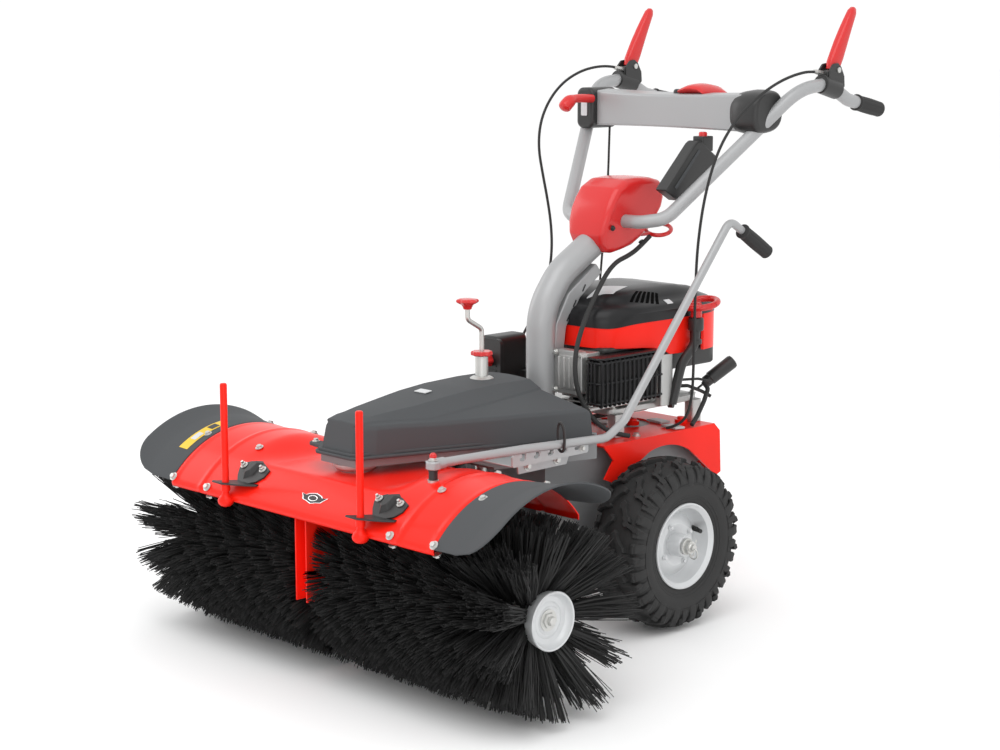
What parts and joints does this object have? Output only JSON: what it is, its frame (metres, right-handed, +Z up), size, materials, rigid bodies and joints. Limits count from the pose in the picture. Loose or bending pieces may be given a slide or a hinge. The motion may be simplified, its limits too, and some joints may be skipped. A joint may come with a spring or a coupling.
{
  "type": "walk behind sweeper",
  "caption": "Walk-behind sweeper: steerable front brush under a red hood, belt cover, engine on a red deck, cleated drive wheels, tilting handlebars with clutch levers and cables.",
  "frame": {"origin": "on the floor under the middle of the machine's footprint", "axes": "+Z up; -Y towards the brush, the front; +Y towards the operator; +X towards the machine's left side"},
  "size_m": [1.12, 1.4549, 1.268],
  "materials": {
    "red_paint": "gloss",
    "grey_paint": "satin",
    "zinc": "satin",
    "cast": "matte",
    "black_metal": "satin",
    "dark_plastic": "matte",
    "black_plastic": "satin",
    "red_plastic": "gloss",
    "tyre_rubber": "matte",
    "black_rubber": "matte",
    "bristle": "matte",
    "silver_rim": "satin"
  },
  "bodies": {
    "root": {"chassis_frame": "grey_paint", "transmission_case": "cast", "axle_bearings": "zinc", "rear_deck": "red_paint", "arm_housing": "grey_paint", "belt_cover": "dark_plastic", "drive_belt": "black_rubber", "comb_plate": "grey_paint", "steering_column": "grey_paint", "crank_tube": "zinc", "chassis_bolts": "zinc", "engine_block": "cast", "engine_shroud": "red_paint", "engine_top_cover": "black_plastic", "muffler_guard": "black_metal", "air_filter_box": "black_plastic", "oil_filler_tube": "black_plastic", "joint_cover": "red_plastic", "left_clutch_cable": "black_rubber", "right_clutch_cable": "black_rubber", "gear_cable": "black_rubber", "wiring_harness": "black_rubber"},
    "left_wheel": {"left_tyre": "tyre_rubber", "left_rim": "silver_rim", "left_axle": "zinc"},
    "right_wheel": {"right_tyre": "tyre_rubber", "right_rim": "silver_rim", "right_axle": "zinc"},
    "brush_head": {"brush_hood": "red_paint", "side_guards": "dark_plastic", "front_rods": "red_paint", "rod_brackets": "black_metal", "hood_bolts": "zinc", "gear_post": "red_paint"},
    "brush": {"brush_shaft": "zinc", "left_brush": "bristle", "right_brush": "bristle", "brush_end_caps": "zinc"},
    "head_pulley": {"driven_pulley": "zinc"},
    "engine_pulley": {"drive_pulley": "zinc"},
    "steering_lever": {"angle_lever": "grey_paint", "lever_grip": "black_rubber"},
    "crank": {"height_crank": "zinc"},
    "support_post": {"caster_post": "zinc"},
    "support_fork": {"caster_fork": "zinc"},
    "support_wheel": {"caster_wheel": "black_rubber"},
    "handlebars": {"handlebar_tubes": "grey_paint", "dash_panel": "grey_paint", "handle_grips": "black_rubber", "lever_brackets": "black_plastic", "starter_box": "black_plastic"},
    "left_lever": {"left_clutch_lever": "red_plastic"},
    "right_lever": {"right_clutch_lever": "red_plastic"},
    "gear_handle": {"gear_lever": "red_plastic"},
    "throttle": {"throttle_lever": "red_plastic"},
    "button": {"start_button": "red_plastic"},
    "ring": {"release_ring": "red_plastic"},
    "oil_dipstick": {"dipstick": "red_plastic"},
    "filter_knob": {"air_filter_knob": "red_plastic"},
    "recoil": {"recoil_handle": "black_plastic"}
  },
  "joints": [
    {"name": "left_wheel_spin", "type": "hinge", "parent": "root", "child": "left_wheel", "pos_m": [0.233, 0.0843, 0.178], "axis": [1, 0, 0], "continuous": true},
    {"name": "right_wheel_spin", "type": "hinge", "parent": "root", "child": "right_wheel", "pos_m": [-0.233, 0.0843, 0.178], "axis": [1, 0, 0], "continuous": true},
    {"name": "brush_yaw", "type": "hinge", "parent": "root", "child": "brush_head", "pos_m": [0, -0.5517, 0.408], "axis": [0, 0, 1], "range_deg": [-12, 12]},
    {"name": "brush_spin", "type": "hinge", "parent": "brush_head", "child": "brush", "pos_m": [0, -0.5217, 0.19], "axis": [1, 0, 0], "continuous": true},
    {"name": "head_pulley_spin", "type": "hinge", "parent": "brush_head", "child": "head_pulley", "pos_m": [0, -0.5517, 0.42], "axis": [0, 0, 1], "continuous": true},
    {"name": "engine_pulley_spin", "type": "hinge", "parent": "root", "child": "engine_pulley", "pos_m": [0, 0.2043, 0.42], "axis": [0, 0, 1], "continuous": true},
    {"name": "lever_swing", "type": "hinge", "parent": "brush_head", "child": "steering_lever", "pos_m": [0.252, -0.5827, 0.445], "axis": [0, 0, 1], "range_deg": [-10.2, 10.2]},
    {"name": "crank_turn", "type": "hinge", "parent": "root", "child": "crank", "pos_m": [0, -0.2167, 0.574], "axis": [0, 0, 1], "range_deg": [0, 3600]},
    {"name": "support_lift", "type": "slide", "parent": "root", "child": "support_post", "axis": [0, 0, 1], "range_m": [0, 0.04]},
    {"name": "support_swivel", "type": "hinge", "parent": "support_post", "child": "support_fork", "pos_m": [0, -0.2167, 0.16], "axis": [0, 0, 1], "continuous": true},
    {"name": "support_wheel_spin", "type": "hinge", "parent": "support_fork", "child": "support_wheel", "pos_m": [0, -0.1907, 0.062], "axis": [1, 0, 0], "continuous": true},
    {"name": "handlebar_tilt", "type": "hinge", "parent": "root", "child": "handlebars", "pos_m": [0, 0.1503, 0.824], "axis": [1, 0, 0], "range_deg": [-10, 10], "deforming": ["left_clutch_cable", "right_clutch_cable", "gear_cable"]},
    {"name": "left_lever_pull", "type": "hinge", "parent": "handlebars", "child": "left_lever", "pos_m": [0.2875, 0.5423, 1.135], "axis": [1, 0, 0], "range_deg": [-70, 0], "stiffness_Nm_per_rad": 1},
    {"name": "right_lever_pull", "type": "hinge", "parent": "handlebars", "child": "right_lever", "pos_m": [-0.2875, 0.5423, 1.135], "axis": [1, 0, 0], "range_deg": [-70, 0], "stiffness_Nm_per_rad": 1},
    {"name": "gear_shift", "type": "slide", "parent": "handlebars", "child": "gear_handle", "axis": [0, 1, 0], "range_m": [-0.025, 0]},
    {"name": "throttle_turn", "type": "hinge", "parent": "handlebars", "child": "throttle", "pos_m": [0.064, 0.4243, 1.086], "axis": [1, 0, 0], "range_deg": [-12, 0]},
    {"name": "button_press", "type": "slide", "parent": "handlebars", "child": "button", "axis": [0, 0, -1], "range_m": [0, 0.003], "stiffness_N_per_m": 300},
    {"name": "ring_pull", "type": "slide", "parent": "root", "child": "ring", "axis": [0, 1, 0], "range_m": [0, 0.012], "stiffness_N_per_m": 400},
    {"name": "dipstick_lift", "type": "slide", "parent": "root", "child": "oil_dipstick", "axis": [0, 0, 1], "range_m": [0, 0.045]},
    {"name": "filter_knob_turn", "type": "hinge", "parent": "root", "child": "filter_knob", "pos_m": [-0.15, -0.0557, 0.528], "axis": [0, 1, 0], "range_deg": [0, 720]},
    {"name": "recoil_pull", "type": "slide", "parent": "root", "child": "recoil", "axis": [0.4423, 0.6757, 0.5897], "range_m": [0, 0.06], "stiffness_N_per_m": 60}
  ],
  "couplings": [
    {"joint": "head_pulley_spin", "follows": "brush_spin", "ratio": -8},
    {"joint": "engine_pulley_spin", "follows": "brush_spin", "ratio": -4.2857},
    {"joint": "lever_swing", "follows": "brush_yaw", "ratio": -0.82},
    {"joint": "support_lift", "follows": "crank_turn", "m_per_rad": 0.00063662}
  ]
}
